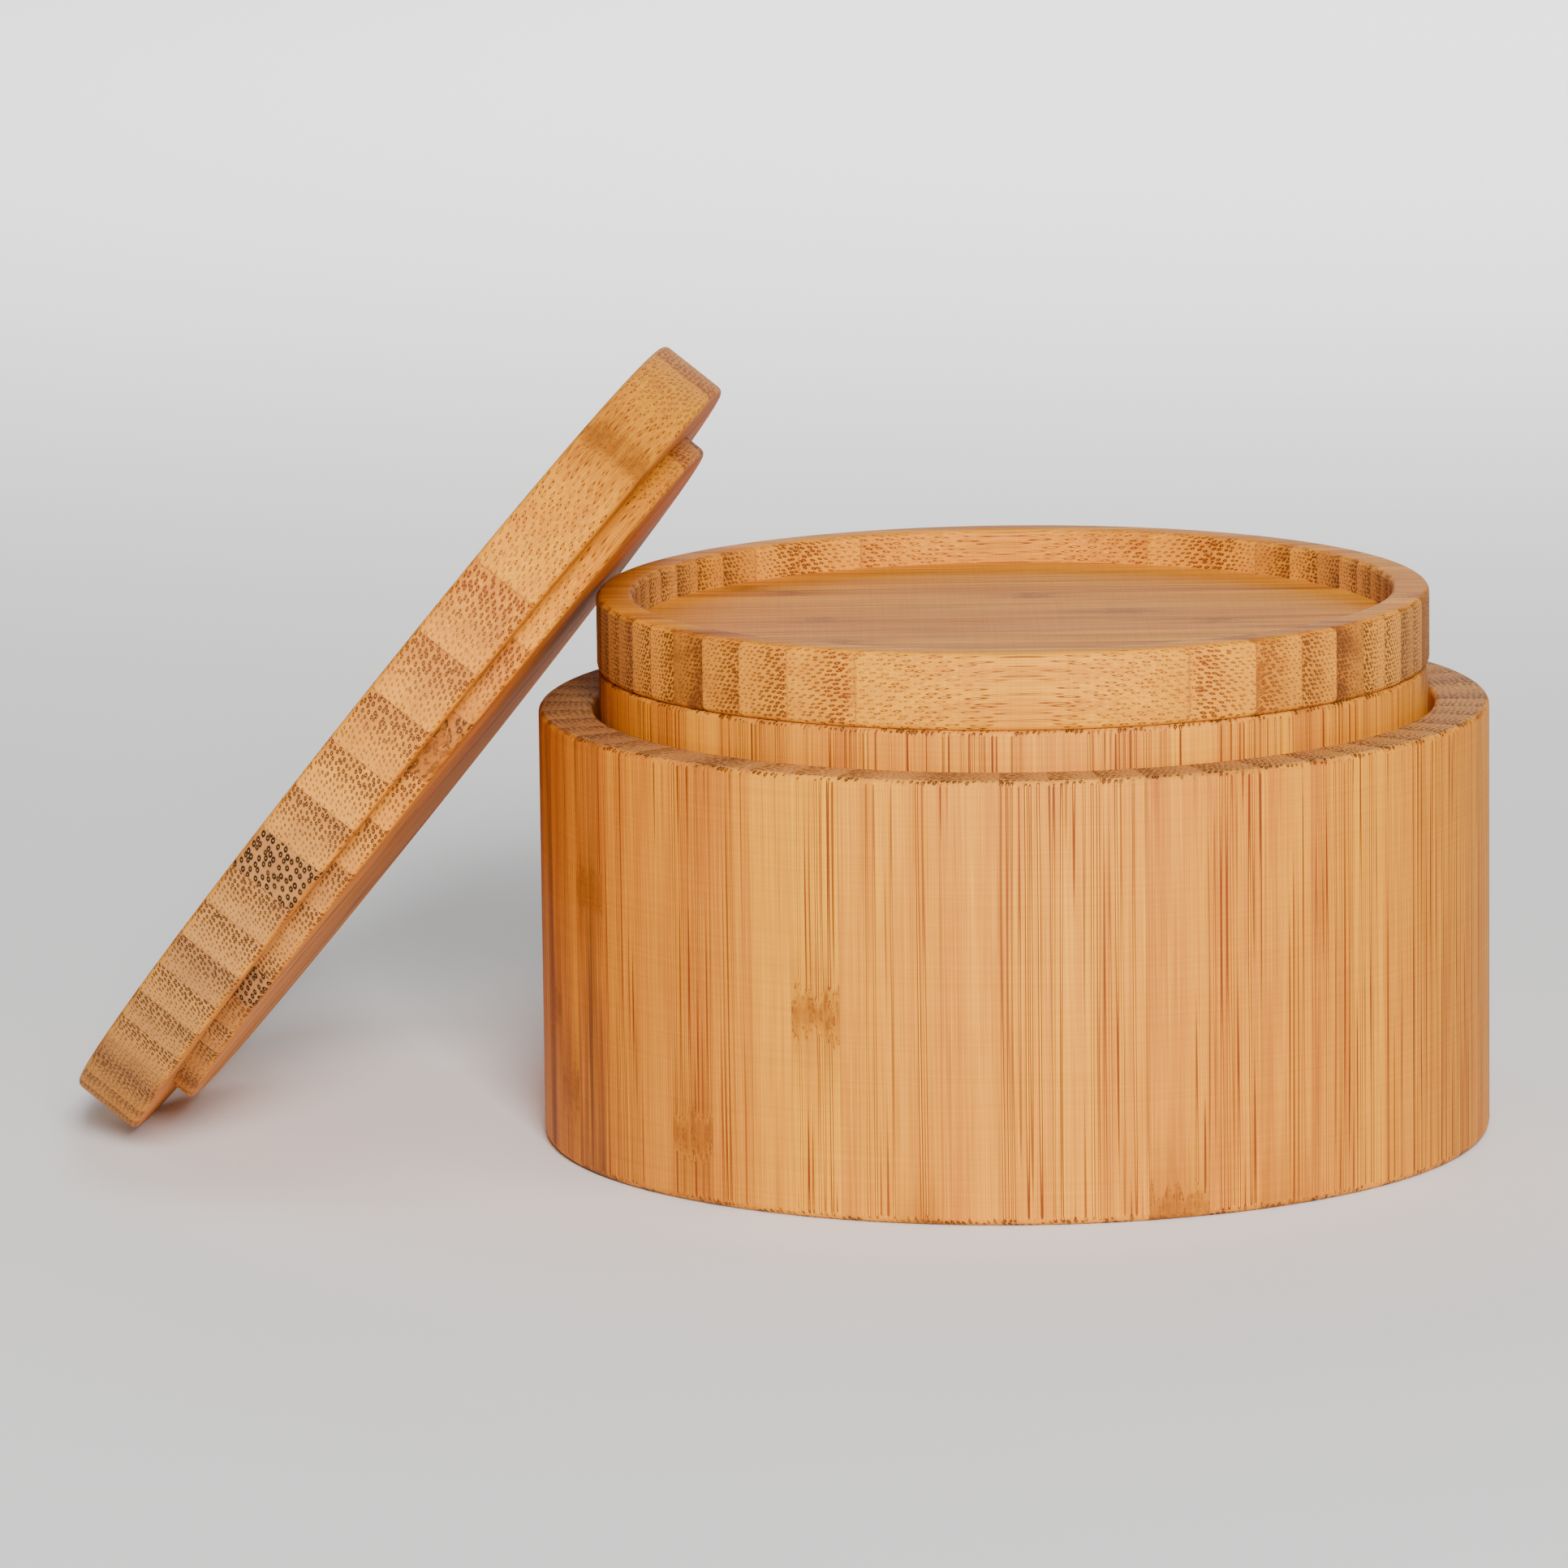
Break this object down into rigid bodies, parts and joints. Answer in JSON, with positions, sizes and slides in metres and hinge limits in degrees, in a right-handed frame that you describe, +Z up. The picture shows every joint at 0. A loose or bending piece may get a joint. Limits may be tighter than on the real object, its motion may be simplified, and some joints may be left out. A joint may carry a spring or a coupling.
{
  "type": "nested bamboo box",
  "caption": "Round box of laminated bamboo: an open jar holds a removable cup under a dished tray-lid, and the jar's own plugged lid leans against them.",
  "frame": {"origin": "centre of the jar's underside, on the table", "axes": "+Z up along the jar's axis; the lid leans on the -X side, its slope rising towards +X; +Y away from the viewer of the front"},
  "size_m": [0.1789, 0.1226, 0.0992],
  "materials": {
    "bamboo_staves": "fine-sanded, satin oiled",
    "bamboo_floors": "sanded, matte",
    "bamboo_tray": "fine-sanded, satin oiled",
    "bamboo_lid": "fine-sanded, satin oiled"
  },
  "bodies": {
    "jar": {"jar_staves": "bamboo_staves", "jar_floor": "bamboo_floors"},
    "cup": {"cup_staves": "bamboo_staves", "cup_floor": "bamboo_floors"},
    "tray": {"tray_strip_01": "bamboo_tray", "tray_strip_02": "bamboo_tray", "tray_strip_03": "bamboo_tray", "tray_strip_04": "bamboo_tray", "tray_strip_05": "bamboo_tray", "tray_strip_06": "bamboo_tray", "tray_strip_07": "bamboo_tray", "tray_strip_08": "bamboo_tray", "tray_strip_09": "bamboo_tray", "tray_strip_10": "bamboo_tray", "tray_strip_11": "bamboo_tray", "tray_strip_12": "bamboo_tray", "tray_strip_13": "bamboo_tray", "tray_strip_14": "bamboo_tray", "tray_strip_15": "bamboo_tray", "tray_strip_16": "bamboo_tray", "tray_strip_17": "bamboo_tray", "tray_strip_18": "bamboo_tray", "tray_strip_19": "bamboo_tray", "tray_strip_20": "bamboo_tray", "tray_strip_21": "bamboo_tray", "tray_strip_22": "bamboo_tray", "tray_strip_23": "bamboo_tray", "tray_strip_24": "bamboo_tray"},
    "lid": {"lid_strip_01": "bamboo_lid", "lid_strip_02": "bamboo_lid", "lid_strip_03": "bamboo_lid", "lid_strip_04": "bamboo_lid", "lid_strip_05": "bamboo_lid", "lid_strip_06": "bamboo_lid", "lid_strip_07": "bamboo_lid", "lid_strip_08": "bamboo_lid", "lid_strip_09": "bamboo_lid", "lid_strip_10": "bamboo_lid", "lid_strip_11": "bamboo_lid", "lid_strip_12": "bamboo_lid", "lid_strip_13": "bamboo_lid", "lid_strip_14": "bamboo_lid", "lid_strip_15": "bamboo_lid", "lid_strip_16": "bamboo_lid", "lid_strip_17": "bamboo_lid", "lid_strip_18": "bamboo_lid", "lid_strip_19": "bamboo_lid", "lid_strip_20": "bamboo_lid", "lid_plug": "bamboo_lid"}
  },
  "joints": [
    {"name": "cup_lift", "type": "slide", "parent": "jar", "child": "cup", "axis": [0, 0, 1], "range_m": [0, 0.055]},
    {"name": "tray_lift", "type": "slide", "parent": "cup", "child": "tray", "axis": [0.6225, 0, 0.7826], "range_m": [0, 0.05]},
    {"name": "lid_tip", "type": "hinge", "parent": "jar", "child": "lid", "pos_m": [-0.12369, -0.0026, 0], "axis": [0, -1, 0], "range_deg": [0, 128.5]}
  ],
  "couplings": [
    {"joint": "lid_tip", "follows": "cup_lift", "rad_per_m": 40.77}
  ]
}
